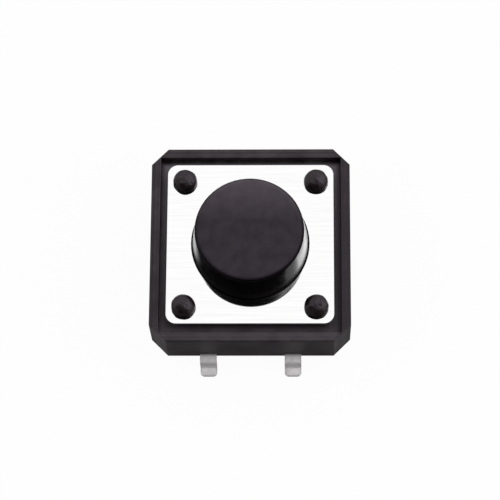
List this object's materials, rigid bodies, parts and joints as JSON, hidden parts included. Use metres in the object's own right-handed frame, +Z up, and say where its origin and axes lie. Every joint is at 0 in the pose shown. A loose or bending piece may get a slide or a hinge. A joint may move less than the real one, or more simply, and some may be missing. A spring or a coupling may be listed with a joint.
{
  "type": "tactile push button switch",
  "caption": "Square surface-mount push button with a tall round black button, a steel cover held by melted posts in a black housing, and gull-wing leads.",
  "frame": {"origin": "middle of the square outline, on the plane of the board that the solder feet stand on", "axes": "+Z up out of the board along the button's travel, +Y to the back along the leads, +X to the right"},
  "size_m": [0.012, 0.0144, 0.0066],
  "materials": {
    "housing_plastic": "fine satin moulding",
    "cover_steel": "bright, faintly brushed along X",
    "button_plastic": "glossy side, fine matte top",
    "spring_steel": "bright spring sheet",
    "plated_brass": "satin silver plating"
  },
  "bodies": {
    "switch_body": {"base_housing": "housing_plastic", "cover_plate": "cover_steel", "snap_dome": "spring_steel", "centre_terminal": "plated_brass", "rim_terminal": "plated_brass"},
    "button": {"push_button": "button_plastic"}
  },
  "joints": [
    {"name": "button_press", "type": "slide", "parent": "switch_body", "child": "button", "axis": [0, 0, -1], "range_m": [0, 0.0003], "stiffness_N_per_m": 6000, "deforming": ["snap_dome"]}
  ]
}
